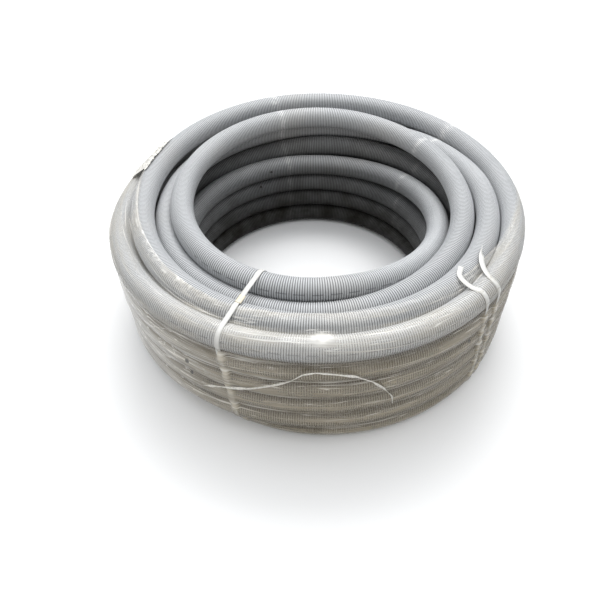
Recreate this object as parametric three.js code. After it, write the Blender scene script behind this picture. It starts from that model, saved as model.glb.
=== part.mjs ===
// A strapped, stretch-wrapped bulk coil of ribbed caravan waste hose, standing on its flat side.
// Millimetres, +Z up. The origin is on the floor, under the middle of the coil.
// The hose is one piece of the real object. Here each turn of it is a solid of its own, in winding order.

import * as THREE from "three";

// Driving dimensions
const hoseDiameter = 34;
const cell = 35.3; // centre spacing of neighbouring turns; the winding plan counts in cells
const layerPitch = 0.985; // height of one layer, in cells
const layerCount = 6;
const hoseSides = 8;
const stepsPerTurn = 30;
const endGap = 0.3; // between the end faces of two turns
const underside = 1.5; // height of the lowest turns' flats, with the straps under them
const strapWidth = 7;
const strapThickness = 0.6;
const strapGap = 1.5; // between the hose and a strap
const filmGap = 1; // between a strap and the film
const filmThickness = 0.8;
const strandDiameter = 2.4;
const tailThickness = 1.2;
const boxCentre = [-5.65, -1.65]; // middle of the coil's box, measured from the winding's own centre

// Worked out from them
const hoseRadius = hoseDiameter / 2;
const flatDistance = hoseRadius * Math.cos(Math.PI / hoseSides);
const bottomLayer = (underside + flatDistance) / cell;
const topLayer = bottomLayer + (layerCount - 1) * layerPitch;
const strapReach = hoseRadius + strapGap;
const filmReach = strapReach + strapThickness + filmGap;
const filmSkin = filmReach + filmThickness;

// ---- The winding plan ----
// A knot is [quarter, radius, height], with radius and height in cells.
// Quarters count anticlockwise seen from above: 0 left, 1 front, 2 right, 3 back, 4 left again.
const FIRST_QUARTER = 0.85;
const LAST_QUARTER = 64;

// The first turn lies in the hollow under the top turns, and shows only at the back.
function hiddenTopTurn() {
  return [
    [0, 7.4, bottomLayer + 3.9],
    [1, 7.12, bottomLayer + 3.93],
    [2, 6.5, bottomLayer + 3.7],
    [3, 6.35, bottomLayer + 3.52],
    [3.3, 6.7, bottomLayer + 3.2],
    [4, 7.34, bottomLayer + 3.02],
  ];
}

// Loose turns that go down between the inner and the outer column, about one cell a turn.
function middleColumn() {
  const radii = [7.24, 7.12, 7.05, 7.1];
  const rises = [2.82, 2.57, 2.32, 2.0, 1.83, 1.55, 1.3, 1.0, 0.84, 0.45, 0];
  const knots = rises.map((rise, i) => [5 + i, radii[(5 + i) % 4], bottomLayer + rise]);
  return [...knots, [16, 7.38, bottomLayer], [16.5, 7.58, bottomLayer]];
}

// Five turns that climb the outside. Each steps up one layer between the back and the front.
function outerColumn() {
  const knots = [];
  for (let turn = 0; turn < layerCount - 1; turn += 1) {
    const height = bottomLayer + turn * layerPitch;
    const front = turn === 0 ? 7.95 : 8.17;
    knots.push([17 + 4 * turn, front, height]);
    knots.push([18 + 4 * turn, 8.1, height]);
    knots.push([19 + 4 * turn, 8.16, height]);
    knots.push([20 + 4 * turn, 8.3 + 0.03 * turn, height + 0.4 * layerPitch]);
  }
  return knots;
}

// The top layer: the hose comes inward in uneven rings, and one ring dives under its neighbours.
function topRings() {
  const drop = (amount) => topLayer - amount;
  return [
    // outermost ring
    [37, 8.17, topLayer],
    [38, 8.08, topLayer],
    [39, 8.16, topLayer],
    [39.5, 7.84, topLayer + 0.07],
    [40, 7.5, topLayer],
    // second ring, down beside the outer column at the back and the left
    [41, 7.18, topLayer],
    [42, 7.09, topLayer],
    [42.3, 7.12, drop(0.285)],
    [42.5, 7.19, drop(0.495)],
    [42.75, 7.17, drop(0.765)],
    [43, 7.18, drop(0.855)],
    [44, 6.62, drop(0.62)],
    // third ring, sunk at the front
    [45, 6.26, drop(0.41)],
    [45.5, 6.15, drop(0.175)],
    [46, 6.05, topLayer],
    [46.5, 6.3, topLayer],
    [47, 6.7, topLayer],
    [48, 5.87, topLayer],
    // fourth ring, which goes down into the hole after the front
    [49, 5.38, topLayer],
    [49.25, 5.23, drop(0.185)],
    [49.5, 5.16, drop(0.495)],
    [50, 5.22, drop(1.125)],
    [51, 5.5, bottomLayer + 2.95],
    [52, 6.08, bottomLayer + 2.95],
  ];
}

// The last turns go down the inside of the hole to the floor.
function innerColumn() {
  const knots = [];
  for (let turn = 0; turn < 3; turn += 1) {
    const height = bottomLayer + (2 - turn) * layerPitch;
    knots.push([53 + 4 * turn, 5.95, height + 0.55]);
    knots.push([54 + 4 * turn, 5.32, height + 0.2]);
    knots.push([55 + 4 * turn, 5.52, height]);
    knots.push([56 + 4 * turn, 6.12, height]);
  }
  return knots;
}

const knots = [
  ...hiddenTopTurn(),
  ...middleColumn(),
  ...outerColumn(),
  ...topRings(),
  ...innerColumn(),
];

// Slope of one column of the knots at knot i, zero where it turns, so that the curve never overshoots.
function slopeAt(i, column) {
  const rise = (k) => (knots[k + 1][column] - knots[k][column]) / (knots[k + 1][0] - knots[k][0]);
  if (i === 0) return rise(0);
  if (i === knots.length - 1) return rise(i - 1);
  const before = rise(i - 1);
  const after = rise(i);
  return before * after > 0 ? (2 * before * after) / (before + after) : 0;
}

// Radius (column 1) or height (column 2) at a quarter, in millimetres, by a monotone cubic.
function planValue(quarter, column) {
  let i = 0;
  while (i < knots.length - 2 && knots[i + 1][0] <= quarter) i += 1;
  const span = knots[i + 1][0] - knots[i][0];
  const u = (quarter - knots[i][0]) / span;
  const start = knots[i][column];
  const change = knots[i + 1][column] - start;
  const blend = u * u * (3 - 2 * u);
  const lead = u * (1 - u) * (1 - u) * span * slopeAt(i, column);
  const trail = u * u * (1 - u) * span * slopeAt(i + 1, column);
  return cell * (start + blend * change + lead - trail);
}

const azimuthOf = (quarter) => Math.PI + (quarter * Math.PI) / 2;

function pointAt(azimuth, radius, height) {
  return new THREE.Vector3(radius * Math.cos(azimuth), radius * Math.sin(azimuth), height);
}

// A stretch of the hose's centreline, stepped evenly in azimuth, with a section that stays upright.
class HoseStretch extends THREE.Curve {
  constructor(firstQuarter, lastQuarter) {
    super();
    this.firstQuarter = firstQuarter;
    this.lastQuarter = lastQuarter;
  }

  getPoint(u) {
    const quarter = this.firstQuarter + u * (this.lastQuarter - this.firstQuarter);
    return pointAt(azimuthOf(quarter), planValue(quarter, 1), planValue(quarter, 2));
  }

  getPointAt(u) {
    return this.getPoint(u);
  }

  getTangentAt(u) {
    return this.getTangent(u);
  }

  computeFrenetFrames(steps) {
    const up = new THREE.Vector3(0, 0, 1);
    const frames = { tangents: [], normals: [], binormals: [] };
    for (let i = 0; i <= steps; i += 1) {
      const tangent = this.getTangent(i / steps);
      const normal = tangent.clone().cross(up).normalize();
      frames.tangents.push(tangent);
      frames.normals.push(normal);
      frames.binormals.push(tangent.clone().cross(normal));
    }
    return frames;
  }
}

// A round section with flats at its top and bottom.
function roundSection(radius, sides) {
  const corners = [];
  for (let i = 0; i < sides; i += 1) {
    const angle = (2 * Math.PI * (i + 0.5)) / sides;
    corners.push(new THREE.Vector2(radius * Math.cos(angle), radius * Math.sin(angle)));
  }
  return new THREE.Shape(corners);
}

function tubeAlong(path, radius, sides, steps) {
  const options = { steps, bevelEnabled: false, extrudePath: path };
  return new THREE.ExtrudeGeometry(roundSection(radius, sides), options);
}

// ---- Outlines round the bundle of turns ----

// Centres [radius, height] of all the turns that pass an azimuth.
function turnsAt(azimuth) {
  const centres = [];
  const turn = 4;
  let quarter = (azimuth - Math.PI) / (Math.PI / 2);
  quarter += turn * Math.ceil((FIRST_QUARTER - quarter) / turn);
  for (; quarter <= LAST_QUARTER; quarter += turn) {
    centres.push([planValue(quarter, 1), planValue(quarter, 2)]);
  }
  return centres;
}

// The point of the bundle's taut outline that faces a direction, at a reach from the turns' centres.
function tautPoint(centres, direction, reach) {
  const along = new THREE.Vector2(Math.cos(direction), Math.sin(direction));
  let best = centres[0];
  for (const centre of centres) {
    const lead = (centre[0] - best[0]) * along.x + (centre[1] - best[1]) * along.y;
    if (lead > 0) best = centre;
  }
  return new THREE.Vector2(best[0], best[1]).addScaledVector(along, reach);
}

// The taut outline from one direction to another, no lower than a given height.
function tautOutline(centres, from, to, steps, reach, lowest) {
  const points = [];
  for (let i = 0; i <= steps; i += 1) {
    const point = tautPoint(centres, from + ((to - from) * i) / steps, reach);
    point.y = Math.max(point.y, lowest);
    points.push(point);
  }
  return points;
}

const outermostAt = (azimuth) => Math.max(...turnsAt(azimuth).map((centre) => centre[0]));

// ---- Straps ----

// Turns a flat shape drawn in (radius, height) into a band of strap width, standing at an azimuth.
function bandAt(shape, azimuth) {
  const band = new THREE.ExtrudeGeometry(shape, { depth: strapWidth, steps: 1, bevelEnabled: false });
  band.translate(0, 0, -strapWidth / 2);
  band.rotateX(Math.PI / 2);
  band.rotateZ(azimuth);
  return band;
}

// The strap that is still tied: a closed loop round all the turns.
function tiedStrap(azimuth) {
  const centres = turnsAt(azimuth);
  const steps = 60;
  const full = 2 * Math.PI;
  const outer = tautOutline(centres, 0, full, steps, strapReach + strapThickness, 0);
  const inner = tautOutline(centres, 0, full, steps, strapReach, strapThickness);
  const shape = new THREE.Shape(outer.slice(0, steps));
  shape.holes.push(new THREE.Path(inner.slice(0, steps)));
  return bandAt(shape, azimuth);
}

// The heat weld of the tied strap: a short second layer of strap on top of the bundle.
function strapWeld(azimuth) {
  const length = 24;
  const gap = 0.3;
  const alongTop = 6.85 * cell;
  const top = tautPoint(turnsAt(azimuth), Math.PI / 2, strapReach + strapThickness + gap).y;
  const weld = new THREE.BoxGeometry(length, strapWidth, strapThickness);
  weld.translate(alongTop, 0, top + strapThickness / 2);
  weld.rotateZ(azimuth);
  return weld;
}

// A strap that has been cut: it goes from inside the hole under the bundle and up the outside,
// and its loose end lies over the top and lifts.
function cutStrap(azimuth, tipRadius, tipRise) {
  const centres = turnsAt(azimuth);
  const fromInside = -Math.PI;
  const overTop = THREE.MathUtils.degToRad(78);
  const steps = 40;
  const inner = tautOutline(centres, fromInside, overTop, steps, strapReach, strapThickness);
  const outer = tautOutline(centres, fromInside, overTop, steps, strapReach + strapThickness, 0);
  const last = inner[steps];
  const tip = new THREE.Vector2(tipRadius * cell, last.y + tipRise);
  const bend = new THREE.Vector2((last.x + tip.x) / 2, last.y + tipRise * 0.15);
  inner.push(bend, tip);
  const lift = new THREE.Vector2(strapThickness * 0.3, strapThickness);
  outer.push(bend.clone().add(lift), tip.clone().add(lift));
  return bandAt(new THREE.Shape([...outer, ...inner.reverse()]), azimuth);
}

// ---- Stretch film ----

// The film's lap over the top of the coil: [azimuth in degrees, radius in cells] of its edge.
const filmLap = [
  [0, 8.35],
  [60, 8.5],
  [120, 8.5],
  [150, 8.2],
  [165, 7.84],
  [180, 7.6],
  [205, 7.4],
  [240, 7.3],
  [267, 6.95],
  [292, 7.1],
  [325, 7.4],
  [345, 7.9],
  [360, 8.35],
];
const tiedAzimuth = 245; // degrees
const cutAzimuths = [315, 320];
const cutClearance = 5; // degrees; beside a cut strap the film stops at the shoulder
const weldClearRadius = 7.6; // cells; the lap keeps clear of the weld of the tied strap

function lapRadius(degrees) {
  if (cutAzimuths.some((cut) => Math.abs(degrees - cut) <= cutClearance)) return Infinity;
  if (degrees === tiedAzimuth) return weldClearRadius * cell;
  let i = 0;
  while (i < filmLap.length - 2 && filmLap[i + 1][0] <= degrees) i += 1;
  const u = (degrees - filmLap[i][0]) / (filmLap[i + 1][0] - filmLap[i][0]);
  return cell * THREE.MathUtils.lerp(filmLap[i][1], filmLap[i + 1][1], u);
}

// One section of the film at an azimuth: up the wall, over the shoulder and in to the lap's edge.
function filmSection(degrees) {
  const wall = outermostAt(THREE.MathUtils.degToRad(degrees));
  const shoulder = (layer, reach) => (direction) => {
    const along = THREE.MathUtils.degToRad(direction);
    return new THREE.Vector2(wall + reach * Math.cos(along), layer * cell + reach * Math.sin(along));
  };
  const skin = (reach) => {
    const lower = [-50, -30, -10].map(shoulder(bottomLayer, reach));
    const upper = [10, 30, 50, 70, 90].map(shoulder(topLayer, reach));
    const lapEdge = new THREE.Vector2(Math.min(lapRadius(degrees), wall - 1), topLayer * cell + reach);
    return [...lower, ...upper, lapEdge];
  };
  return [...skin(filmSkin), ...skin(filmReach).reverse()];
}

// A lathe ring whose section is then set at each azimuth.
function stretchFilm() {
  const segments = 72;
  const profile = filmSection(0);
  const film = new THREE.LatheGeometry([...profile, profile[0]], segments);
  const position = film.getAttribute("position");
  const rows = profile.length + 1;
  for (let i = 0; i <= segments; i += 1) {
    const degrees = (360 * (i % segments)) / segments;
    const section = filmSection(degrees);
    for (let j = 0; j < rows; j += 1) {
      const { x: radius, y: height } = section[j % profile.length];
      const point = pointAt(THREE.MathUtils.degToRad(degrees), radius, height);
      position.setXYZ(i * rows + j, point.x, point.y, point.z);
    }
  }
  return film;
}

// A rolled strand of torn film that lies against the front of the wall.
function filmStrand() {
  const gap = 0.3;
  const route = [
    [239, 2.6],
    [244, 3.0],
    [252, 3.45],
    [258, 3.95],
    [262, 4.3],
    [265, 4.75],
    [268, 4.88],
    [272, 4.78],
    [277, 4.55],
    [281, 4.1],
    [284, 3.55],
    [286.5, 2.9],
    [287, 2.4],
  ];
  const points = route.map(([degrees, height]) => {
    const azimuth = THREE.MathUtils.degToRad(degrees);
    const radius = outermostAt(azimuth) + filmSkin + gap + strandDiameter / 2;
    return pointAt(azimuth, radius, height * cell);
  });
  return tubeAlong(new THREE.CatmullRomCurve3(points), strandDiameter / 2, 8, 36);
}

// The bunched end of the film, a small flat patch on the top edge at the left and back.
function filmTail() {
  const gap = 0.5;
  const [from, to] = [150, 168].map(THREE.MathUtils.degToRad);
  const [near, far] = [7.9 * cell, 8.25 * cell];
  const patch = new THREE.Shape();
  patch.absarc(0, 0, far, from, to, false);
  patch.absarc(0, 0, near, to, from, true);
  const options = { depth: tailThickness, steps: 1, bevelEnabled: false, curveSegments: 6 };
  const tail = new THREE.ExtrudeGeometry(patch, options);
  tail.translate(0, 0, topLayer * cell + filmSkin + gap);
  return tail;
}

// ---- Materials and assembly ----

const finish = (color, roughness, options = {}) =>
  new THREE.MeshStandardMaterial({ color, roughness, metalness: 0, ...options });
const hoseGrey = finish(0xbfc2c6, 0.55);
const strapWhite = finish(0xf0eee8, 0.4);
const weldCream = finish(0xe6dcc0, 0.5);
const clearFilm = finish(0xe4e0d4, 0.15, { transparent: true, opacity: 0.35 });
const rolledFilm = finish(0xf2ede0, 0.3);

const coil = new THREE.Group();
coil.position.set(-boxCentre[0], -boxCentre[1], 0);

function addPart(name, geometry, material) {
  const mesh = new THREE.Mesh(geometry, material);
  mesh.name = name;
  coil.add(mesh);
}

// The hose, one node a turn; the last stretch is whatever is left over.
const turnQuarters = 4;
const quarterLength = (quarter) => (planValue(quarter, 1) * Math.PI) / 2;
let firstQuarter = FIRST_QUARTER;
for (let turn = 1; firstQuarter < LAST_QUARTER; turn += 1) {
  const lastQuarter = Math.min(firstQuarter + turnQuarters, LAST_QUARTER);
  const from = firstQuarter + endGap / 2 / quarterLength(firstQuarter);
  const to = lastQuarter - endGap / 2 / quarterLength(lastQuarter);
  const steps = Math.round(((lastQuarter - firstQuarter) / turnQuarters) * stepsPerTurn);
  const tube = tubeAlong(new HoseStretch(from, to), hoseRadius, hoseSides, steps);
  addPart(`hose_turn_${String(turn).padStart(2, "0")}`, tube, hoseGrey);
  firstQuarter = lastQuarter;
}

const tied = THREE.MathUtils.degToRad(tiedAzimuth);
const [cutNear, cutFar] = cutAzimuths.map(THREE.MathUtils.degToRad);
addPart("strap_tied", tiedStrap(tied), strapWhite);
addPart("strap_weld", strapWeld(tied), weldCream);
addPart("strap_cut_near", cutStrap(cutNear, 7.15, 12), strapWhite);
addPart("strap_cut_far", cutStrap(cutFar, 7.3, 15), strapWhite);
addPart("stretch_film", stretchFilm(), clearFilm);
addPart("film_strand", filmStrand(), rolledFilm);
addPart("film_tail", filmTail(), rolledFilm);

export default coil;
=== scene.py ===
"""A bulk coil of ribbed caravan waste hose, tied with white straps and wrapped in clear stretch film.

Lengths are in metres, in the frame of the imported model. The winding plan counts in cells, the centre
spacing of neighbouring turns, and in quarters of a turn, as the CAD model's plan does.
"""

import math

import bpy
import numpy as np
from mathutils import Matrix, Vector, noise


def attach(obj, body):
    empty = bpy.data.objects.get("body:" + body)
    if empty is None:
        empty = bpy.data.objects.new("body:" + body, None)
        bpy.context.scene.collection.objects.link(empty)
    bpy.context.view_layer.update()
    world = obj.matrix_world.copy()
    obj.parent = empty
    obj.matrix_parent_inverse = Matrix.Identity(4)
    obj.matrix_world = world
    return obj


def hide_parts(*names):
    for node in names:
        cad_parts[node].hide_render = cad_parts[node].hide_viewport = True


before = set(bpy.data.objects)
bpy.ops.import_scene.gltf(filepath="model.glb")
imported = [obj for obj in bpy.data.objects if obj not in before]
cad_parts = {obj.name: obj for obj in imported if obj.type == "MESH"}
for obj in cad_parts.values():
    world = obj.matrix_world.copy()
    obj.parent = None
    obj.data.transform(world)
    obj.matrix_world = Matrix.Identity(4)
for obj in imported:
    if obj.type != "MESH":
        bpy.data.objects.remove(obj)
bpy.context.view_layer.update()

# ---- Driving dimensions ----
CELL = 0.0353
LAYER_PITCH = 0.985  # cells
LAYER_COUNT = 6
CENTRE = np.array([0.00565, 0.00165])  # the winding's own centre, in the frame
UNDERSIDE = 0.0015
HOSE_DIAMETER = 0.034
CREST_RADIUS = 0.0173
VALLEY_RADIUS = 0.0163
BORE_RADIUS = 0.01425
BORE_DEPTH = 0.06
HOSE_SIDES = 16
RIB_PITCH = 0.0031
RIB_PHASES = [0.0, 0.34, 0.56, 0.8]  # where the rows of a rib lie, in rib pitches
RIB_GROOVE = [0.0, 0.0, 1.0, 1.0]  # 0 on the crest, 1 in the valley
FLAT_DISTANCE = HOSE_DIAMETER / 2 * math.cos(math.pi / 8)
BOTTOM = (UNDERSIDE + FLAT_DISTANCE) / CELL
TOP = BOTTOM + (LAYER_COUNT - 1) * LAYER_PITCH
FIRST_QUARTER = 0.85
LAST_QUARTER = 64

OUTER_QUARTERS = (17, 38)  # the outer column and its top ring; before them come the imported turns
GRIME_AND_SHADE_HEIGHT = 4.2  # cells; the grime and painted shade in the hole get thicker from here down to the floor
RUB_AZIMUTHS = (105, 38)  # degrees; rubbed pale lines across the top rings
RUB_WIDTH = 1.3  # degrees
DASH_PITCH = 0.022
# Stretches of hose with printed dashes: first quarter, last quarter, side of the hose in degrees.
DASHED = ((48.4, 49.6, 26), (36.55, 37.7, 20))

STRAP_WIDTH = 0.007
STRAP_THICKNESS = 0.0006
# Azimuths (degrees) of each strap at the top and at the foot of the wall.
TIED_WALL = (245, 248)
NEAR_WALL = (313.2, 317.4)
FAR_WALL = (318.4, 320.6)
STRAP_REACH = CREST_RADIUS + 0.0006  # from a turn's centre to a strap
LOWEST_STRAP = STRAP_THICKNESS + 0.0001  # a strap's outer face is this far over the floor

FILM_REACH = CREST_RADIUS + 0.0003
WRAP_RADIUS = 8.3  # cells; the film's lengths round the coil are measured here
LEFT_SIDE = 203  # degrees; the middle of the whiter, more crinkled side of the film
LEFT_SPREAD = 34
BAKE_MAP = "OFBake"  # the name of the UV map laid on the hose and the film


# ---- The winding plan: knots of [quarter, radius, height], in cells ----
def hidden_top_turn():
    """The first turn lies in the hollow under the top turns, and shows only at the back."""
    return [
        [0, 7.4, BOTTOM + 3.9],
        [1, 7.12, BOTTOM + 3.93],
        [2, 6.5, BOTTOM + 3.7],
        [3, 6.35, BOTTOM + 3.52],
        [3.3, 6.7, BOTTOM + 3.2],
        [4, 7.34, BOTTOM + 3.02],
    ]


def middle_column():
    """Loose turns that go down between the inner and the outer column."""
    radii = [7.24, 7.12, 7.05, 7.1]
    rises = [2.82, 2.57, 2.32, 2.0, 1.83, 1.55, 1.3, 1.0, 0.84, 0.45, 0]
    knots = [[5 + i, radii[(5 + i) % 4], BOTTOM + rise] for i, rise in enumerate(rises)]
    return [*knots, [16, 7.38, BOTTOM], [16.5, 7.58, BOTTOM]]


def outer_column():
    """Five turns that climb the outside, stepping up one layer between the back and the front."""
    knots = []
    for turn in range(LAYER_COUNT - 1):
        height = BOTTOM + turn * LAYER_PITCH
        knots.append([17 + 4 * turn, 7.95 if turn == 0 else 8.17, height])
        knots.append([18 + 4 * turn, 8.1, height])
        knots.append([19 + 4 * turn, 8.16, height])
        knots.append([20 + 4 * turn, 8.3 + 0.03 * turn, height + 0.4 * LAYER_PITCH])
    return knots


def top_rings():
    """The top layer: the hose comes inward in uneven rings, and one ring dives under its neighbours."""
    return [
        # outermost ring
        [37, 8.17, TOP],
        [38, 8.08, TOP],
        [39, 8.16, TOP],
        [39.5, 7.84, TOP + 0.07],
        [40, 7.5, TOP],
        # second ring, down beside the outer column at the back and the left
        [41, 7.18, TOP],
        [42, 7.09, TOP],
        [42.3, 7.12, TOP - 0.285],
        [42.5, 7.19, TOP - 0.495],
        [42.75, 7.17, TOP - 0.765],
        [43, 7.18, TOP - 0.855],
        [44, 6.62, TOP - 0.62],
        # third ring, sunk at the front
        [45, 6.26, TOP - 0.41],
        [45.5, 6.15, TOP - 0.175],
        [46, 6.05, TOP],
        [46.5, 6.3, TOP],
        [47, 6.7, TOP],
        [48, 5.87, TOP],
        # fourth ring, which goes down into the hole after the front
        [49, 5.38, TOP],
        [49.25, 5.23, TOP - 0.185],
        [49.5, 5.16, TOP - 0.495],
        [50, 5.22, TOP - 1.125],
        [51, 5.5, BOTTOM + 2.95],
        [52, 6.08, BOTTOM + 2.95],
    ]


def inner_column():
    """The last turns go down the inside of the hole to the floor."""
    knots = []
    for turn in range(3):
        height = BOTTOM + (2 - turn) * LAYER_PITCH
        knots.append([53 + 4 * turn, 5.95, height + 0.55])
        knots.append([54 + 4 * turn, 5.32, height + 0.2])
        knots.append([55 + 4 * turn, 5.52, height])
        knots.append([56 + 4 * turn, 6.12, height])
    return knots


KNOTS = np.array([*hidden_top_turn(), *middle_column(), *outer_column(), *top_rings(), *inner_column()])


def plan_value(quarters, column):
    """Radius (column 1) or height (column 2) at each quarter, in metres, by a monotone cubic."""
    at, values = KNOTS[:, 0], KNOTS[:, column]
    rise = np.diff(values) / np.diff(at)
    product = rise[:-1] * rise[1:]
    total = np.where(product > 0, rise[:-1] + rise[1:], 1)
    inner = np.where(product > 0, 2 * product / total, 0)
    slope = np.concatenate([rise[:1], inner, rise[-1:]])
    i = np.clip(np.searchsorted(at, quarters, side="right") - 1, 0, len(at) - 2)
    span = at[i + 1] - at[i]
    u = (quarters - at[i]) / span
    blend = u * u * (3 - 2 * u) * (values[i + 1] - values[i])
    lead = u * (1 - u) ** 2 * span * slope[i]
    trail = u * u * (1 - u) * span * slope[i + 1]
    return CELL * (values[i] + blend + lead - trail)


def point_at(azimuth, radius, height):
    """Points at an azimuth (radians), radius and height about the winding's centre."""
    azimuth, radius, height = np.broadcast_arrays(azimuth, radius, height)
    x = CENTRE[0] + radius * np.cos(azimuth)
    y = CENTRE[1] + radius * np.sin(azimuth)
    return np.stack([x, y, height], axis=-1)


def azimuth_of(points):
    """Azimuth of points about the winding's centre, in degrees from 0 to 360."""
    return np.degrees(np.arctan2(points[..., 1] - CENTRE[1], points[..., 0] - CENTRE[0])) % 360


def points_on(path):
    """The points of a path given as rows of [azimuth in degrees, radius, height]."""
    return point_at(np.radians(path[:, 0]), path[:, 1], path[:, 2])


def centreline_at(quarters):
    azimuth = math.pi + quarters * math.pi / 2
    return point_at(azimuth, plan_value(quarters, 1), plan_value(quarters, 2))


def unit(vectors):
    return vectors / np.linalg.norm(vectors, axis=-1, keepdims=True)


def bell(values, middle, width, power=2):
    """1 at the middle, falling off to both sides over the width."""
    return np.exp(-(np.abs((values - middle) / width) ** power))


def rings_across(sides, outward, upward, flatten=1.0):
    """A ring of unit offsets across each point of a line; flatten scales them along upward."""
    angles = 2 * math.pi * np.arange(sides) / sides
    sideways = np.cos(angles)[None, :, None] * outward[:, None, :]
    return sideways + (np.sin(angles)[None, :] * flatten)[..., None] * upward[:, None, :]


# ---- Outlines round the bundle of turns, as [radius, height] ----
def turns_at(azimuth):
    """Centres of all the turns that pass an azimuth (radians)."""
    first = (azimuth - math.pi) / (math.pi / 2)
    first += 4 * math.ceil((FIRST_QUARTER - first) / 4)
    quarters = np.arange(first, LAST_QUARTER, 4)
    return np.stack([plan_value(quarters, 1), plan_value(quarters, 2)], axis=-1)


def taut_outline(azimuth, start, end, reach, count=240):
    """The taut outline round the turns from one direction (degrees) to another, spaced evenly."""
    centres = turns_at(azimuth)
    direction = np.radians(np.linspace(start, end, 720))
    along = np.stack([np.cos(direction), np.sin(direction)], axis=-1)
    nearest = np.argmax(along @ centres.T, axis=1)
    points = centres[nearest] + along * reach
    return evenly(points, count)


def evenly(points, count, line=None):
    """A polyline's points again, count of them, spaced evenly along it or along the line given."""
    steps = np.linalg.norm(np.diff(points if line is None else line, axis=0), axis=1)
    along = np.concatenate([[0], np.cumsum(steps)])
    at = np.linspace(0, along[-1], count)
    return np.stack([np.interp(at, along, points[:, k]) for k in range(points.shape[1])], axis=-1)


def smooth_line(points, passes):
    """Rounds a line in place, by averaging neighbours, and returns it; its ends stay."""
    for _ in range(passes):
        points[1:-1] = (points[:-2] + 2 * points[1:-1] + points[2:]) / 4
    return points


# ---- Meshes from grids of points ----
def grid_object(name, points, wrap_rows=False, wrap_columns=False, capped=False, turned=False):
    """An object of quads over a grid of points (rows, columns, 3), closed along either way if asked.

    turned makes the faces look the other way, for grids whose rows run on to the left of their columns.
    """
    rows, columns = points.shape[:2]
    i = np.arange(rows if wrap_rows else rows - 1)[:, None]
    j = np.arange(columns if wrap_columns else columns - 1)[None, :]
    up, right = (i + 1) % rows, (j + 1) % columns
    here, above = i * columns, up * columns
    quads = np.stack([here + j, here + right, above + right, above + j], axis=-1)
    step = -1 if turned else 1
    corners = quads[..., ::step].ravel()
    starts = np.arange(0, corners.size, 4)
    if capped:
        first = np.arange(columns)[::-step]
        last = (rows - 1) * columns + np.arange(columns)[::step]
        starts = np.concatenate([starts, corners.size + np.array([0, columns])])
        corners = np.concatenate([corners, first, last])
    mesh = bpy.data.meshes.new(name)
    mesh.vertices.add(rows * columns)
    mesh.vertices.foreach_set("co", points.astype(np.float32).ravel())
    mesh.loops.add(corners.size)
    mesh.loops.foreach_set("vertex_index", corners.astype(np.int32))
    mesh.polygons.add(starts.size)
    mesh.polygons.foreach_set("loop_start", starts.astype(np.int32))
    mesh.polygons.foreach_set("use_smooth", np.ones(starts.size, bool))
    mesh.update(calc_edges=True)
    piece = bpy.data.objects.new(name, mesh)
    bpy.context.scene.collection.objects.link(piece)
    return piece


def add_attribute(piece, name, values):
    attribute = piece.data.attributes.new(name, "FLOAT", "POINT")
    attribute.data.foreach_set("value", np.asarray(values, np.float32).ravel())


def add_uv(piece, uv):
    """Gives the quads of a grid their map, corner by corner; end caps stay at the origin."""
    layer = piece.data.uv_layers.new(name=BAKE_MAP)
    every = np.zeros(len(piece.data.loops) * 2, np.float32)
    every[: uv.size] = uv.ravel()
    layer.data.foreach_set("uv", every)


def add_strip_uv(piece, rows, columns, strips):
    """Lays a long turned tube's quads out as side-by-side strips, so that each rib keeps some pixels."""
    margin = 0.06
    per_strip = math.ceil((rows - 1) / strips)
    i, j = np.meshgrid(np.arange(rows - 1), np.arange(columns), indexing="ij")
    strip = i // per_strip
    across = np.stack([j, j + 1, j + 1, j], axis=-1) / columns
    along = (np.stack([i + 1, i + 1, i, i], axis=-1) - strip[..., None] * per_strip) / per_strip
    u = (strip[..., None] + margin + (1 - 2 * margin) * across) / strips
    add_uv(piece, np.stack([u, 0.002 + 0.996 * along], axis=-1))


def add_flat_uv(piece, points, wrap_rows=False):
    """A flat map of a turned grid: rows along U and columns along V, each from 0 to 1."""
    rows, columns = points.shape[:2]
    spans = rows if wrap_rows else rows - 1
    i, j = np.meshgrid(np.arange(spans), np.arange(columns - 1), indexing="ij")
    u = np.stack([i + 1, i + 1, i, i], axis=-1) / spans
    v = np.stack([j, j + 1, j + 1, j], axis=-1) / (columns - 1)
    add_uv(piece, np.stack([u, v], axis=-1))


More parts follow.
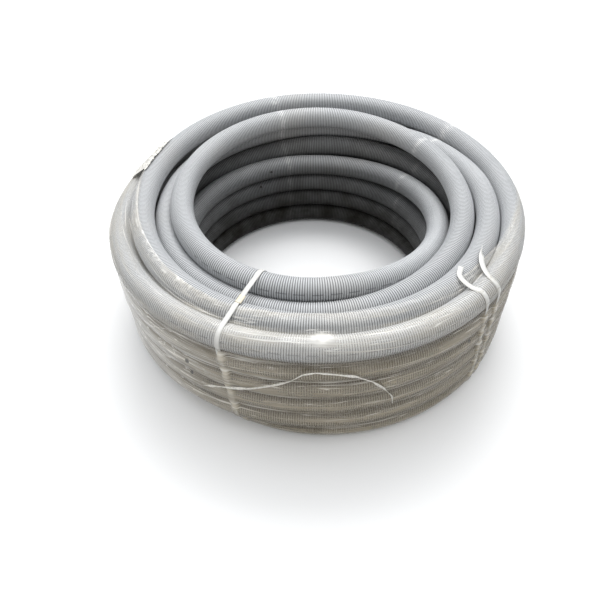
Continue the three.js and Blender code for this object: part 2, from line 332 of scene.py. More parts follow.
# ---- Materials ----
class Shader:
    """A node material with short calls for the nodes used here."""

    def __init__(self, name):
        self.material = bpy.data.materials.new(name)
        self.material.use_nodes = True
        self.tree = self.material.node_tree
        self.surface = self.tree.nodes["Principled BSDF"]

    def node(self, kind, settings=None, **inputs):
        made = self.tree.nodes.new(kind)
        for key, value in (settings or {}).items():
            setattr(made, key, value)
        for key, value in inputs.items():
            self.feed(made.inputs[key.replace("_", " ")], value)
        return made

    def feed(self, socket, value):
        if isinstance(value, bpy.types.NodeSocket):
            self.tree.links.new(value, socket)
        else:
            socket.default_value = value

    def math(self, operation, *values, clamp=False):
        made = self.tree.nodes.new("ShaderNodeMath")
        made.operation = operation
        made.use_clamp = clamp
        for socket, value in zip(made.inputs, values):
            self.feed(socket, value)
        return made.outputs[0]

    def attribute(self, name):
        return self.node("ShaderNodeAttribute", {"attribute_name": name}).outputs["Fac"]

    def noise(self, scale, detail=4.0, roughness=0.55, vector=None, distortion=0.0):
        made = self.node("ShaderNodeTexNoise", Scale=scale, Detail=detail, Roughness=roughness)
        made.inputs["Distortion"].default_value = distortion
        self.feed(made.inputs["Vector"], vector or self.position())
        return made.outputs["Fac"]

    def position(self):
        return self.node("ShaderNodeTexCoord").outputs["Object"]

    def span(self, value, low, high, to_low=0.0, to_high=1.0):
        made = self.node("ShaderNodeMapRange", {"clamp": True, "interpolation_type": "SMOOTHSTEP"})
        for key, number in (("Value", value), ("From Min", low), ("From Max", high)):
            self.feed(made.inputs[key], number)
        self.feed(made.inputs["To Min"], to_low)
        self.feed(made.inputs["To Max"], to_high)
        return made.outputs["Result"]

    def mix(self, factor, first, second, blend="MIX"):
        made = self.tree.nodes.new("ShaderNodeMix")
        made.data_type = "RGBA"
        made.blend_type = blend
        self.feed(made.inputs[0], factor)
        self.feed(made.inputs[6], first)
        self.feed(made.inputs[7], second)
        return made.outputs[2]

    def tint(self, colour, mask, share, other):
        """The colour moved a share of the way to another, where the mask is 1."""
        return self.mix(self.math("MULTIPLY", mask, share), colour, other)

    def add(self, value, mask, share):
        """The value with a share of the mask added, kept between 0 and 1."""
        return self.math("ADD", value, self.math("MULTIPLY", mask, share), clamp=True)

    def stretched(self, flat, scale):
        made = self.node("ShaderNodeVectorMath", {"operation": "MULTIPLY"})
        self.feed(made.inputs[0], flat)
        self.feed(made.inputs[1], scale)
        return made.outputs[0]

    def ridge(self, flat, scale, width):
        """Thin lines, 1 along them and 0 away from them, where a stretched noise crosses its middle."""
        value = self.noise(1.0, 2.0, 0.5, self.stretched(flat, scale), 0.6)
        off = self.math("ABSOLUTE", self.math("SUBTRACT", value, 0.5))
        return self.span(off, 0.0, width, 1.0, 0.0)

    def specks(self, places):
        """Nearly 1 inside small ragged spots, at places listed as HOSE_SPECKS and FILM_SPECKS are."""
        ragged = self.noise(900.0, 2.0)
        mask = 0.0
        for degrees, radius, height, size in places:
            place = point_at(math.radians(degrees), radius * CELL, height * CELL)
            off = self.node("ShaderNodeVectorMath", {"operation": "DISTANCE"})
            self.feed(off.inputs[0], self.position())
            self.feed(off.inputs[1], tuple(place))
            spread = self.math("ADD", off.outputs["Value"], self.math("MULTIPLY", ragged, 0.002))
            mask = self.math("MAXIMUM", mask, self.span(spread, size - 0.0006, size + 0.001, 0.9, 0.0))
        return mask

    def bump(self, height, strength, distance):
        made = self.node("ShaderNodeBump", Height=height, Strength=strength, Distance=distance)
        return made.outputs["Normal"]

    def set(self, **inputs):
        for key, value in inputs.items():
            self.feed(self.surface.inputs[key.replace("_", " ")], value)
        return self.material


SPECK_COLOUR = (0.03, 0.025, 0.02, 1)
# Specks of dirt, in the hole and on the film: azimuth in degrees, radius and height in cells, size
# (the radius) in metres.
HOSE_SPECKS = [
    (115.8, 5.23, TOP - 1.85, 0.003),
    (121.8, 5.37, TOP - 2.66, 0.003),
]
FILM_SPECKS = [
    (234.4, 8.75, TOP - 1.94, 0.0042),
    (234.7, 8.67, TOP - 2.69, 0.0034),
    (309.9, 8.56, TOP - 1.62, 0.0036),
]


def hose_colour(shader, groove, cloud, grime_and_shade):
    """Paler crests and valleys painted darker as shade, with rubbed patches, soil with painted shade on the
    wall, grime with painted shade in the hole, printed dashes and specks.
    """
    dust = shader.span(shader.noise(7.0, 4.0), 0.5, 0.75)
    crest = shader.mix(cloud, (0.47, 0.485, 0.5, 1), (0.58, 0.59, 0.6, 1))
    crest = shader.tint(crest, dust, 0.3, (0.46, 0.43, 0.38, 1))
    worn = shader.span(shader.noise(120.0, 2.0), 0.3, 0.6)
    rub = shader.math("MULTIPLY", shader.attribute("rub"), worn)
    crest = shader.tint(crest, rub, 0.9, (0.85, 0.85, 0.84, 1))
    # Painted shade: the valleys are painted darker than the crests.
    shaded_valley = shader.mix(cloud, (0.14, 0.14, 0.145, 1), (0.23, 0.228, 0.23, 1))
    # Soil and painted shade: the outer column's side on the wall is painted darker and browner.
    soil_and_shade = shader.attribute("soil_and_shade")
    crest = shader.tint(crest, soil_and_shade, 0.8, (0.3, 0.265, 0.205, 1))
    shaded_valley = shader.mix(soil_and_shade, shaded_valley, (0.07, 0.058, 0.04, 1))
    colour = shader.mix(shader.span(groove, 0.15, 0.9), crest, shaded_valley)
    # Grime and painted shade: turns in the hole and in the recess are painted nearly black.
    patchy = shader.span(shader.noise(30.0, 5.0), 0.3, 0.7, 0.85, 1.0)
    colour = shader.tint(colour, grime_and_shade, patchy, (0.022, 0.02, 0.015, 1))
    dash = shader.span(shader.attribute("dash"), 0.82, 0.92)
    colour = shader.tint(colour, dash, 0.5, (0.06, 0.06, 0.065, 1))
    return shader.mix(shader.specks(HOSE_SPECKS), colour, SPECK_COLOUR)


def hose_material():
    """Grey flexible PVC: slightly glossy on the crests, dull in the valleys and where it is grimy or
    painted with shade.
    """
    shader = Shader("hose_grey_pvc")
    groove = shader.attribute("groove")
    grime_and_shade = shader.attribute("grime_and_shade")
    cloud = shader.noise(14.0, 3.0)
    colour = hose_colour(shader, groove, cloud, grime_and_shade)
    rough = shader.span(cloud, 0.3, 0.7, 0.3, 0.45)
    rough = shader.math("ADD", rough, shader.math("MULTIPLY", groove, 0.2))
    shine = shader.span(grime_and_shade, 0.0, 1.0, 0.5, 0.1)
    normal = shader.bump(shader.noise(900.0, 2.0), 0.15, 0.0002)
    return shader.set(Base_Color=colour, Roughness=rough, Normal=normal, Specular_IOR_Level=shine)


def strap_material():
    """White polypropylene strapping with a little dirt.

    The emboss lies on a UV map. The straps have none here, so it doesn't show in a render of this scene.
    """
    shader = Shader("strap_white_pp")
    flat = shader.node("ShaderNodeTexCoord").outputs["UV"]
    emboss = shader.node("ShaderNodeTexBrick", {"offset": 0.5}, Scale=260.0, Mortar_Size=0.012)
    shader.feed(emboss.inputs["Vector"], flat)
    dirt = shader.span(shader.noise(60.0, 5.0), 0.5, 0.75, 0.0, 0.5)
    colour = shader.mix(dirt, (0.68, 0.675, 0.65, 1), (0.5, 0.48, 0.43, 1))
    normal = shader.bump(emboss.outputs["Fac"], 0.3, 0.0002)
    return shader.set(Base_Color=colour, Roughness=0.38, Normal=normal)


def film_creases_and_highlights(shader, flat, left):
    """The mesh's own creases and painted highlights, with long and fine lines drawn over them, most of them
    on the left.
    """
    lines = shader.ridge(flat, (5.0, 34.0, 1.0), 0.015)
    lines = shader.math("MULTIPLY", lines, shader.span(left, 0.0, 1.0, 0.55, 1.0))
    fine_lines = shader.ridge(flat, (21.0, 38.0, 1.0), 0.022)
    fine_lines = shader.math("MULTIPLY", fine_lines, shader.span(left, 0.0, 1.0, 0.12, 1.0))
    drawn = shader.math("MAXIMUM", lines, fine_lines)
    return shader.math("ADD", shader.attribute("crease_and_highlight"), drawn, clamp=True)


def film_alpha(shader, wall, left, hollow_shade, layered, crease_and_highlight):
    """Nearly clear; fuller on the layered wall, in the painted shade of hollows, along creases and painted
    highlights, at the left and edge-on.
    """
    alpha = shader.math("MULTIPLY", wall, shader.span(layered, 0.0, 1.0, 0.14, 0.3))
    alpha = shader.math("ADD", alpha, shader.span(layered, 0.3, 1.0, 0.02, 0.12))
    alpha = shader.add(alpha, crease_and_highlight, shader.span(left, 0.0, 1.0, 0.55, 0.85))
    edge_on = shader.node("ShaderNodeLayerWeight", Blend=0.5).outputs["Facing"]
    alpha = shader.add(alpha, edge_on, 0.15)
    alpha = shader.add(alpha, hollow_shade, 0.25)
    return shader.add(alpha, left, shader.span(wall, 0.0, 1.0, 0.2, 0.5))


def film_colour(shader, wall, left, hollow_shade, layered, crease_and_highlight):
    """Brown where it is layered on the wall, pale at the left, painted dark as shade in the hollows between
    turns, white along creases and painted highlights.
    """
    colour = shader.mix(wall, (0.74, 0.73, 0.7, 1), (0.5, 0.44, 0.31, 1))
    colour = shader.mix(layered, colour, (0.6, 0.53, 0.4, 1))
    colour = shader.tint(colour, left, 0.9, (0.84, 0.83, 0.8, 1))
    # Painted shade: the film over the hollows between turns is painted dark brown.
    colour = shader.tint(colour, hollow_shade, 0.85, (0.14, 0.115, 0.075, 1))
    return shader.tint(colour, crease_and_highlight, 0.85, (0.93, 0.915, 0.87, 1))


def film_material():
    """Clear stretch film: nearly invisible where smooth, milky along creases and painted highlights, warm
    where it is layered, painted dark as shade in hollows.
    """
    shader = Shader("clear_stretch_film")
    flat = shader.node("ShaderNodeUVMap", {"uv_map": BAKE_MAP}).outputs["UV"]
    wall, left, hollow_shade = (shader.attribute(name) for name in ("wall", "left", "hollow_shade"))
    crease_and_highlight = film_creases_and_highlights(shader, flat, left)
    streak = shader.noise(1.0, 5.0, 0.65, shader.stretched(flat, (9.0, 26.0, 1.0)), 0.4)
    clouded = shader.math("ADD", streak, shader.math("MULTIPLY", shader.noise(16.0, 4.0), 0.5))
    layered = shader.span(clouded, 0.5, 1.0)
    speck = shader.specks(FILM_SPECKS)
    colour = film_colour(shader, wall, left, hollow_shade, layered, crease_and_highlight)
    alpha = film_alpha(shader, wall, left, hollow_shade, layered, crease_and_highlight)
    return shader.set(
        Base_Color=shader.mix(speck, colour, SPECK_COLOUR),
        Alpha=shader.math("MAXIMUM", alpha, speck),
        Roughness=0.2,
        Specular_IOR_Level=0.8,
        Normal=shader.bump(streak, 0.35, 0.002),
    )


def rolled_film_material():
    """Film rolled into a strand or bunched into a flap: milky white, glossy, streaked."""
    shader = Shader("rolled_film")
    streak = shader.noise(300.0, 3.0)
    colour = shader.mix(streak, (0.72, 0.69, 0.62, 1), (0.93, 0.92, 0.88, 1))
    normal = shader.bump(streak, 0.5, 0.0005)
    alpha = shader.span(streak, 0.2, 0.6, 0.65, 1.0)
    return shader.set(Base_Color=colour, Roughness=0.25, Normal=normal, Alpha=alpha)


def weld_material():
    """The strap's heat weld: cream, pressed into bars."""
    shader = Shader("weld_cream_pp")
    streak = shader.noise(400.0, 3.0)
    colour = shader.mix(streak, (0.7, 0.63, 0.49, 1), (0.84, 0.79, 0.67, 1))
    return shader.set(Base_Color=colour, Roughness=0.4, Normal=shader.bump(streak, 0.3, 0.0003))


def floor_material():
    shader = Shader("studio_floor")
    return shader.set(Base_Color=(0.9, 0.9, 0.9, 1), Roughness=0.9, Specular_IOR_Level=0.1)


def paint(piece, material):
    piece.data.materials.clear()
    piece.data.materials.append(material)
    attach(piece, "root")
    return piece


# ---- The hose ----
def fine_route():
    """Quarters spaced closely along the winding, and the length of hose laid down to each."""
    samples = 16000
    quarters = np.linspace(FIRST_QUARTER, LAST_QUARTER, samples)
    steps = np.linalg.norm(np.diff(centreline_at(quarters), axis=0), axis=1)
    return quarters, np.concatenate([[0], np.cumsum(steps)])


def hose_rows(length):
    """Where each ring of the hose's skin lies along it, its radius and how deep in a valley it is."""
    plain_ends = 0.002
    ribs = int((length - plain_ends) / RIB_PITCH)
    start = (length - ribs * RIB_PITCH) / 2
    along = (start + RIB_PITCH * (np.arange(ribs)[:, None] + np.array(RIB_PHASES))).ravel()
    groove = np.tile(RIB_GROOVE, ribs)
    radius = CREST_RADIUS - (CREST_RADIUS - VALLEY_RADIUS) * groove
    inner_along = np.array([BORE_DEPTH, 0.0, 0.0])
    inner_radius = np.array([BORE_RADIUS, BORE_RADIUS, VALLEY_RADIUS])
    along = np.concatenate([inner_along, along, length - inner_along[::-1]])
    radius = np.concatenate([inner_radius, radius, inner_radius[::-1]])
    groove = np.concatenate([np.ones(3), groove, np.ones(3)])
    return along, radius, groove


def printed_dashes(quarters, along, angles):
    """1 on the plain dashes that are printed along two stretches of the top rings."""
    dash = np.zeros((len(quarters), len(angles)))
    on = np.sin(2 * math.pi * along / DASH_PITCH) > -0.45
    for first, last, side in DASHED:
        inside = (quarters > first) & (quarters < last)
        column = int(round(side / 360 * len(angles))) % len(angles)
        dash[inside & on, column] = 1
    return dash


def grime_and_shade_in_hole(quarters, points):
    """Grime and painted shade on the turns that line the hole, from a little near the top to most by the
    floor, and painted shade on the hidden top turn and the middle column.
    """
    into_hole = 49.7  # the quarter where the last ring starts to go down
    inner = np.clip((quarters - into_hole) / 0.8, 0, 1)
    # Painted shade: the hidden top turn and the middle column, in the recess, are painted dark.
    recess_shade = 0.7 * (quarters < OUTER_QUARTERS[0])
    # Darker towards the floor: grime and painted shade.
    depth = np.clip(1 - points[..., 2] / (GRIME_AND_SHADE_HEIGHT * CELL), 0, 1)
    return recess_shade[:, None] + inner[:, None] * np.minimum(0.4 + 0.8 * depth, 0.985)


def soil_and_shade_on_wall(quarters, points):
    """Brown dust and painted shade on the outer column, on the side that shows through the film on the
    wall.
    """
    first, last = OUTER_QUARTERS
    outer = np.clip((quarters - first) / 0.5 + 1, 0, 1) * np.clip((last - quarters) / 2, 0, 1)
    radius = np.hypot(points[..., 0] - CENTRE[0], points[..., 1] - CENTRE[1])
    outward = np.clip((radius / CELL - 8.1) / 0.3, 0, 1)
    below = np.clip((TOP * CELL - 0.006 - points[..., 2]) / 0.01, 0, 1)
    # The whiter left side gets less soil and less painted shade.
    less_soil_and_shade = 0.75 * bell(azimuth_of(points), LEFT_SIDE - 1, LEFT_SPREAD)
    return outer[:, None] * outward * below * (1 - less_soil_and_shade)


def mark_hose(hose, points, quarters, along, groove):
    """The hose's values for its material: grooves, rubbed lines, dashes, grime and painted shade in the
    hole, soil and painted shade on the wall.
    """
    angles = 2 * math.pi * np.arange(HOSE_SIDES) / HOSE_SIDES
    azimuth = azimuth_of(points)
    add_attribute(hose, "groove", groove[:, None] * np.ones(HOSE_SIDES))
    add_attribute(hose, "rub", sum(bell(azimuth, place, RUB_WIDTH) for place in RUB_AZIMUTHS))
    add_attribute(hose, "dash", printed_dashes(quarters, along, angles))
    add_attribute(hose, "grime_and_shade", grime_and_shade_in_hole(quarters, points))
    add_attribute(hose, "soil_and_shade", soil_and_shade_on_wall(quarters, points))


def make_hose():
    """One ribbed tube along the whole winding, capped where its bore ends."""
    quarters, laid = fine_route()
    length = laid[-1]
    along, radius, groove = hose_rows(length)
    at = np.interp(along, laid, quarters)
    step = 0.002
    tangents = unit(centreline_at(at + step) - centreline_at(at - step))
    outward = unit(np.cross(tangents, (0, 0, 1)))
    rings = rings_across(HOSE_SIDES, outward, np.cross(outward, tangents))
    points = centreline_at(at)[:, None, :] + radius[:, None, None] * rings
    hose = grid_object("waste_hose", points, wrap_columns=True, capped=True, turned=True)
    add_strip_uv(hose, len(along), HOSE_SIDES, strips=64)
    mark_hose(hose, points, at, along, groove)
    paint(hose, hose_material())
    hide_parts(*[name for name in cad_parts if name.startswith("hose_turn_")])
    path = centreline_at(np.interp(np.linspace(0, length, 5000), laid, quarters))


# ---- Straps ----
def band(name, line, outward, width=STRAP_WIDTH, thickness=STRAP_THICKNESS, closed=False):
    """A strap of oblong section along a line; outward points away from the face it lies on."""
    if closed:
        ahead, behind = np.roll(line, -1, axis=0), np.roll(line, 1, axis=0)
    else:
        ahead = np.concatenate([line[1:], line[-1:]])
        behind = np.concatenate([line[:1], line[:-1]])
    tangent = unit(ahead - behind)
    across = unit(np.cross(tangent, outward))
    lift = unit(np.cross(across, tangent))
    half, edge = width / 2, 0.0002
    corners = [(-half, 0), (-half + edge, thickness), (half - edge, thickness), (half, 0)]
    points = np.stack([line + across * a + lift * b for a, b in corners], axis=1)
    return grid_object(name, points, wrap_rows=closed, wrap_columns=True, capped=not closed)


def make_tied_strap():
    """The strap that is still tied, a closed loop round all the turns, leaning a little on the wall."""
    top_azimuth, floor_azimuth = TIED_WALL
    outline = taut_outline(math.radians(top_azimuth), 0, 360, STRAP_REACH, 600)[:-1]
    outline[:, 1] = np.maximum(outline[:, 1], LOWEST_STRAP)
    share = outline[:, 1] / (TOP * CELL)
    azimuth = np.radians(floor_azimuth + (top_azimuth - floor_azimuth) * share)
    line = point_at(azimuth, outline[:, 0], outline[:, 1])
    middle = outline.mean(axis=0)
    outward = line - point_at(azimuth, middle[0], middle[1])
    strap = paint(band("tied_strap", line, outward, closed=True), strap_material())
    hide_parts("strap_tied")


def make_weld():
    """The weld: the strap's two ends pressed together in bars, on top of the bundle."""
    length, bars, bar_height, samples = 0.013, 6, 0.00018, 90
    azimuth = math.radians(TIED_WALL[0])
    radius = 6.95 * CELL + np.linspace(-length / 2, length / 2, samples)
    top = TOP * CELL + CREST_RADIUS + 2 * STRAP_THICKNESS
    ripple = bar_height * np.sin(np.linspace(0, bars * 2 * math.pi, samples))
    line = point_at(azimuth, radius, top + ripple)
    outward = np.tile([0.0, 0.0, 1.0], (samples, 1))
    weld = band("strap_weld_bars", line, outward, width=STRAP_WIDTH + 0.0014, thickness=0.001)
    paint(weld, weld_material())
    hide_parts("strap_weld")


def twisted(line, outward, degrees):
    """The outward directions of a strap, turned about the strap over its last few centimetres."""
    tip_samples, full_samples = 24, 16
    across = unit(np.cross(np.gradient(line, axis=0), outward))
    past = np.arange(len(line)) - len(line) + tip_samples
    turn = math.radians(degrees) * np.clip(past / full_samples, 0, 1)[:, None]
    return outward * np.cos(turn) + across * np.sin(turn)


def make_cut_strap(name, node, wall, tip, twist=0.0):
    """A cut strap: from inside the hole under the bundle, up the wall, and loose over the top."""
    top_azimuth, floor_azimuth = wall
    outline = taut_outline(math.radians(top_azimuth), -180, 76, STRAP_REACH, 500)
    outline[:, 1] = np.maximum(outline[:, 1], LOWEST_STRAP)
    share = np.clip(outline[:, 1] / (TOP * CELL), 0, 1)
    azimuth = floor_azimuth + (top_azimuth - floor_azimuth) * share
    loose = [[a, r * CELL, TOP * CELL + CREST_RADIUS + lift] for a, r, lift in tip]
    path = np.vstack([np.column_stack([azimuth, outline]), loose])
    path = smooth_line(evenly(path, 700, line=points_on(path)), 30)
    line = points_on(path)
    middle = outline.mean(axis=0)
    outward = unit(line - point_at(np.radians(path[:, 0]), middle[0], middle[1]))
    strap = band(name, line, twisted(line, outward, twist))
    paint(strap, strap_material())
    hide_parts(node)


# The loose tips of the cut straps: azimuth in degrees, radius in cells, height over the turns in metres.
NEAR_TIP = [
    (312.3, 7.95, 0.0006),
    (312.4, 7.65, 0.001),
    (312.7, 7.4, 0.0015),
    (313.6, 7.2, 0.002),
    (316.6, 7.03, 0.003),
]
FAR_TIP = [
    (319.2, 7.95, 0.0006),
    (320.4, 7.72, 0.001),
    (322.4, 7.48, 0.0015),
    (325.0, 7.3, 0.004),
    (327.8, 7.18, 0.005),
]


# ---- Stretch film ----
# The film's lap over the top of the coil: azimuth in degrees, and radius of its edge in cells.
FILM_LAP = np.array(
    [
        [0, 8.35],
        [60, 8.5],
        [120, 8.5],
        [150, 8.2],
        [165, 7.84],
        [180, 7.6],
        [205, 7.4],
        [240, 7.3],
        [267, 6.95],
        [292, 7.1],
        [325, 7.4],
        [345, 7.9],
        [360, 8.35],
    ]
)


def ridges(points, seed, sharpness=5.0):
    """Thin ridge lines of a noise, from 0 to 1, at points of a flat unwrapped film."""
    values = np.array([noise.noise(Vector((x, y, seed))) for x, y in points.reshape(-1, 2)])
    return ((1 - np.abs(values) * 2.2).clip(0, 1) ** sharpness).reshape(points.shape[:-1])


def film_grid():
    """The film's sections: smooth outline points, inward directions and the flat place of each."""
    columns = 1200
    rows = 110
    azimuth = np.linspace(0, 360, columns, endpoint=False)
    sections = []
    for degrees in azimuth:
        outline = taut_outline(math.radians(degrees), -82, 88, FILM_REACH, 300)
        edge = np.interp(degrees, FILM_LAP[:, 0], FILM_LAP[:, 1]) * CELL
        past_edge = (outline[:, 0] < edge) & (outline[:, 1] > TOP * CELL)
        if past_edge.any():
            outline = outline[: max(2, int(np.argmax(past_edge)))]
        crest = outline[-1]
        if edge < crest[0]:
            flat = np.linspace(crest[0], edge, 40)[1:]
            outline = np.vstack([outline, np.column_stack([flat, np.full(39, crest[1])])])
        sections.append(evenly(outline, rows))
    return azimuth, np.array(sections)


def over_straps(degrees, height):
    """1 where the film passes over a strap on the wall and can't sink between the turns, 0 away from it."""
    half_width = 1.1  # degrees
    fall = 1 - height / (TOP * CELL)
    cover = 0
    for top_azimuth, floor_azimuth in (TIED_WALL, NEAR_WALL, FAR_WALL):
        middle = top_azimuth + (floor_azimuth - top_azimuth) * fall
        cover = np.maximum(cover, bell(degrees, middle, half_width, 4))
    return cover


def film_gap(radians, sections):
    """How far each point of the film's sections stands off the nearest turn, up to a limit."""
    limit = 0.03
    gap = np.empty(sections.shape[:2])
    for section, angle, row in zip(sections, radians, gap):
        away = np.linalg.norm(section[:, None, :] - turns_at(angle)[None], axis=-1) - CREST_RADIUS
        row[:] = away.min(axis=1).clip(0, limit)
    return gap


def film_lap(azimuth, up, patch):
    """1 along the film's edge on top of the coil, in patches, and most at the front."""
    front = bell(azimuth, 245, 75, 4)
    from_edge = (up[:, -1:] - up) / 0.015
    return np.clip(1.25 - from_edge, 0, 1) * (0.35 + 0.65 * patch) * (0.35 + 0.65 * front)


def film_relief(azimuth, sections, gap, wall):
    """How white each point of the film is with creases and with a painted glare and sheen on the outermost
    ring's top, and how far it lifts there, in metres.
    """
    steps = np.linalg.norm(np.diff(sections, axis=1), axis=-1)
    up = np.concatenate([np.zeros((len(steps), 1)), np.cumsum(steps, axis=1)], axis=1)
    radians = np.radians(azimuth)
    around = np.broadcast_to(radians * WRAP_RADIUS * CELL, up.shape)
    drift = up - around * (0.03 * np.sin(radians * 2 + 0.8))
    long_creases = ridges(np.stack([around * 2.6, drift * 40], axis=-1), 3.1, 3.0)
    crinkle = ridges(np.stack([around * 60, up * 150], axis=-1), 11.3, 4.0)
    patch = np.clip(ridges(np.stack([around * 4, up * 9], axis=-1), 5.9, 1.0) * 2 - 0.9, 0, 1)
    closing = np.gradient(gap, axis=1) < 0
    fold_gap, fold_width = 0.003, 0.0012  # folds lie where the film comes back on to a turn
    fold = bell(gap, fold_gap, fold_width) * closing * (0.3 + 0.7 * patch) * wall
    lap = film_lap(azimuth, up, patch)
    radius, on_top = sections[..., 0] / CELL, sections[..., 1] > TOP * CELL
    # Painted highlight: a glare spot on the outermost ring's top at the front.
    glare = bell(azimuth, 269, 2.2) * bell(radius, 8.05, 0.28) * on_top
    # Painted sheen: a pale haze on the outermost ring's top at the front.
    painted_sheen = bell(radius, 8.3, 0.38, 4) * on_top * bell(azimuth, 272, 48, 4)
    crease_and_highlight = 0.8 * fold + lap * (0.35 + 0.75 * crinkle) + glare * (0.7 + crinkle) + 0.45 * painted_sheen
    clear_of_floor = np.clip(up / 0.06, 0, 1)
    lift = (0.0012 * long_creases + 0.0006 * fold) * clear_of_floor
    return np.clip(crease_and_highlight, 0, 1), lift + (lap + glare) * (0.0004 + 0.0014 * crinkle)


def film_sunk(sections, gap, wall, under, lift):
    """The sections, pulled in between the turns, pushed out by the straps under them and creased."""
    tangent = np.gradient(sections, axis=1)
    normal = unit(np.stack([tangent[..., 1], -tangent[..., 0]], axis=-1))
    shift = wall * 0.0006 - 0.72 * gap * (1 - under) + 0.0012 * under + lift
    moved = sections + shift[..., None] * normal
    moved[..., 1] = np.maximum(moved[..., 1], 0.0004)
    return moved


def make_film():
    """The stretch film: once round the wall, over the shoulder and a little way in over the top."""
    azimuth, sections = film_grid()
    radians = np.radians(azimuth)
    azimuth = azimuth[:, None]
    gap = film_gap(radians, sections)
    wall = np.clip((1.0 - sections[..., 1] / (TOP * CELL)) / 0.1, 0, 1)
    under = over_straps(azimuth, sections[..., 1]) * wall
    crease_and_highlight, lift = film_relief(azimuth, sections, gap, wall)
    moved = film_sunk(sections, gap, wall, under, lift)
    points = point_at(radians[:, None], moved[..., 0], moved[..., 1])
    film = grid_object("stretch_wrap", points, wrap_rows=True, turned=True)
    add_flat_uv(film, points, wrap_rows=True)
    # The crease value carries the creases and the painted glare and sheen.
    add_attribute(film, "crease_and_highlight", crease_and_highlight)
    add_attribute(film, "left", bell(azimuth, LEFT_SIDE, LEFT_SPREAD) * (0.25 + 0.75 * wall))
    # Painted shade: where the film bridges the gaps between turns on the wall.
    add_attribute(film, "hollow_shade", np.clip(gap / 0.006, 0, 1) * wall * (1 - under))
    add_attribute(film, "wall", wall * (1 + 2.2 * under * np.clip(gap / 0.004, 0, 1)))
    paint(film, film_material())
    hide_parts("stretch_film")
    return film


# The loose strand's route on the wall: azimuth in degrees, and height in cells.
STRAND_ROUTE = np.array(
    [
        [239, 2.6],
        [244, 3.0],
        [252, 3.45],
        [258, 3.95],
        [262, 4.3],
        [265, 4.75],
        [268, 4.88],
        [272, 4.78],
        [277, 4.55],
        [281, 4.1],
        [284, 3.55],
        [286.5, 2.9],
        [287, 2.4],
    ]
)


def make_strand():
    """A rolled strand of torn film that lies in a loose arch against the front of the wall."""
    wall_radius, off_wall, thickness = 8.6, 0.004, 0.0011
    cells_per_degree = math.radians(wall_radius)
    fine = smooth_line(evenly(STRAND_ROUTE * [cells_per_degree, 1], 400), 20)
    degrees = fine[:, 0] / cells_per_degree
    height = fine[:, 1] * CELL
    outermost = np.array([turns_at(math.radians(d))[:, 0].max() for d in degrees])
    line = point_at(np.radians(degrees), outermost + CREST_RADIUS + off_wall, height)
    outward = unit(line - point_at(np.radians(degrees), 0, height))
    upward = np.cross(unit(np.gradient(line, axis=0)), outward)
    along = np.linspace(0, 1, len(line))
    lumps = np.array([noise.noise(Vector((u * 22, 0.5, 1.5))) for u in along])
    tapered = np.minimum(1, 14 * np.minimum(along, 1 - along) + 0.2)
    thick = thickness * (1 + 0.9 * lumps) * tapered
    flatten = 1 + 0.5 * np.sin(along * 40)
    rings = rings_across(10, outward, upward, flatten[:, None])
    points = line[:, None, :] + thick[:, None, None] * rings
    strand = grid_object("film_strand_rolled", points, wrap_columns=True, capped=True)
    paint(strand, rolled_film_material())
    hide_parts("film_strand")
    return strand


def make_tail():
    """The bunched end of the film: a small crumpled flap on the coil's shoulder, at the left and back."""
    rows, columns, crumple = 120, 24, 0.0026
    first_azimuth, width = 148, 20  # degrees
    reach = CREST_RADIUS + 0.0022
    along = np.linspace(0, 1, rows)
    radians = np.radians(first_azimuth + width * along)
    spread = np.sin(math.pi * along) ** 0.6
    lines = [taut_outline(a, 62 - 30 * w, 64 + 16 * w, reach, columns) for a, w in zip(radians, spread)]
    lines = np.array(lines)
    place = np.stack(np.broadcast_arrays(along[:, None] * 22, np.arange(columns) * 0.22), axis=-1)
    lift = crumple * ridges(place, 4.2, 3.0) * np.sin(math.pi * along)[:, None]
    points = point_at(radians[:, None], lines[..., 0] + 0.5 * lift, lines[..., 1] + lift)
    tail = grid_object("film_tail_flap", points, turned=True)
    paint(tail, rolled_film_material())
    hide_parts("film_tail")
    return tail


# ---- Stage ----
def make_camera():
    """The eye is set from the winding's centre, in cells, looking along +Y and down."""
    eye = np.array([-0.694, -20.98, 21.571]) * CELL + [*CENTRE, 0]
    depression = math.radians(47.317)
    roll = math.radians(-0.661)
    right = Vector((1, 0, 0))
    ahead = Vector((0, math.cos(depression), -math.sin(depression)))
    up = right.cross(ahead)
    rolled_right = right * math.cos(roll) + up * math.sin(roll)
    rolled_up = up * math.cos(roll) - right * math.sin(roll)
    data = bpy.data.cameras.new("photo_angle")
    data.lens = 36
    data.sensor_width = 36
    camera = bpy.data.objects.new("photo_angle", data)
    turn = Matrix((rolled_right, rolled_up, -ahead)).transposed()
    camera.matrix_world = Matrix.Translation(Vector(eye)) @ turn.to_4x4()
    bpy.context.scene.collection.objects.link(camera)
    bpy.context.scene.camera = camera


def make_floor():
    size, height = 8.0, -0.0002
    reach = np.linspace(-size / 2, size / 2, 3)
    points = np.stack([*np.meshgrid(reach, reach), np.full((3, 3), height)], axis=-1)
    floor = grid_object("studio_floor", points)
    floor.data.materials.append(floor_material())
    floor.visible_diffuse = False  # the ground under the coil sends no light up into it


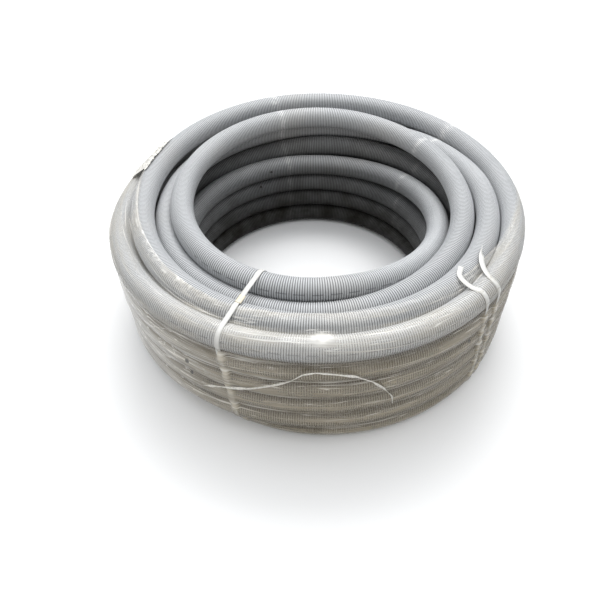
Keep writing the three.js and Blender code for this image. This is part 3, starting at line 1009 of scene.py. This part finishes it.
def add_area_light(name, place, target, size, watts, colour):
    """A soft box of (width, height), aimed at a target."""
    data = bpy.data.lights.new(name, "AREA")
    data.shape = "RECTANGLE"
    data.size, data.size_y = size
    data.energy = watts
    data.color = colour
    light = bpy.data.objects.new(name, data)
    light.location = place
    light.rotation_euler = (Vector(target) - Vector(place)).to_track_quat("-Z", "Y").to_euler()
    bpy.context.scene.collection.objects.link(light)


def sky(world):
    """A studio dome: bright overhead, dimmer at the horizon and dark below it."""
    tree = world.node_tree
    background = tree.nodes["Background"]
    direction = tree.nodes.new("ShaderNodeTexCoord").outputs["Generated"]
    tilted = tree.nodes.new("ShaderNodeVectorMath")
    tilted.operation = "DOT_PRODUCT"
    tilted.inputs[1].default_value = (0, 0.35, 0.937)
    tree.links.new(direction, tilted.inputs[0])
    ramp = tree.nodes.new("ShaderNodeValToRGB")
    stops = ((0.0, 0.12), (0.25, 0.3), (0.5, 0.7), (0.8, 1.3), (1.0, 1.5))
    ramp.color_ramp.elements[1].position = 1.0
    for place, _ in stops[1:-1]:
        ramp.color_ramp.elements.new(place)
    for element, (place, level) in zip(ramp.color_ramp.elements, stops):
        element.position = place
        element.color = (level * 0.97, level * 0.985, level, 1)
    tree.links.new(tilted.outputs["Value"], ramp.inputs[0])
    tree.links.new(ramp.outputs["Color"], background.inputs["Color"])
    background.inputs["Strength"].default_value = 1.2


def light_stage():
    world = bpy.data.worlds.new("studio")
    world.use_nodes = True
    sky(world)
    bpy.context.scene.world = world
    add_area_light("overhead", (0.1, 1.1, 1.8), (0, 0, 0.1), (1.5, 1.2), 29, (1.0, 1.0, 1.0))
    add_area_light("low_front", (-0.1, -2.4, 0.5), (0, 0, 0.1), (2.4, 0.4), 17, (1.0, 0.98, 0.95))
    bpy.context.scene.view_settings.view_transform = "Standard"


make_camera()
make_hose()
make_tied_strap()
make_weld()
make_cut_strap("cut_strap_near", "strap_cut_near", NEAR_WALL, NEAR_TIP)
make_cut_strap("cut_strap_far", "strap_cut_far", FAR_WALL, FAR_TIP, twist=75.0)
film = make_film()
strand = make_strand()
tail = make_tail()
make_floor()
light_stage()
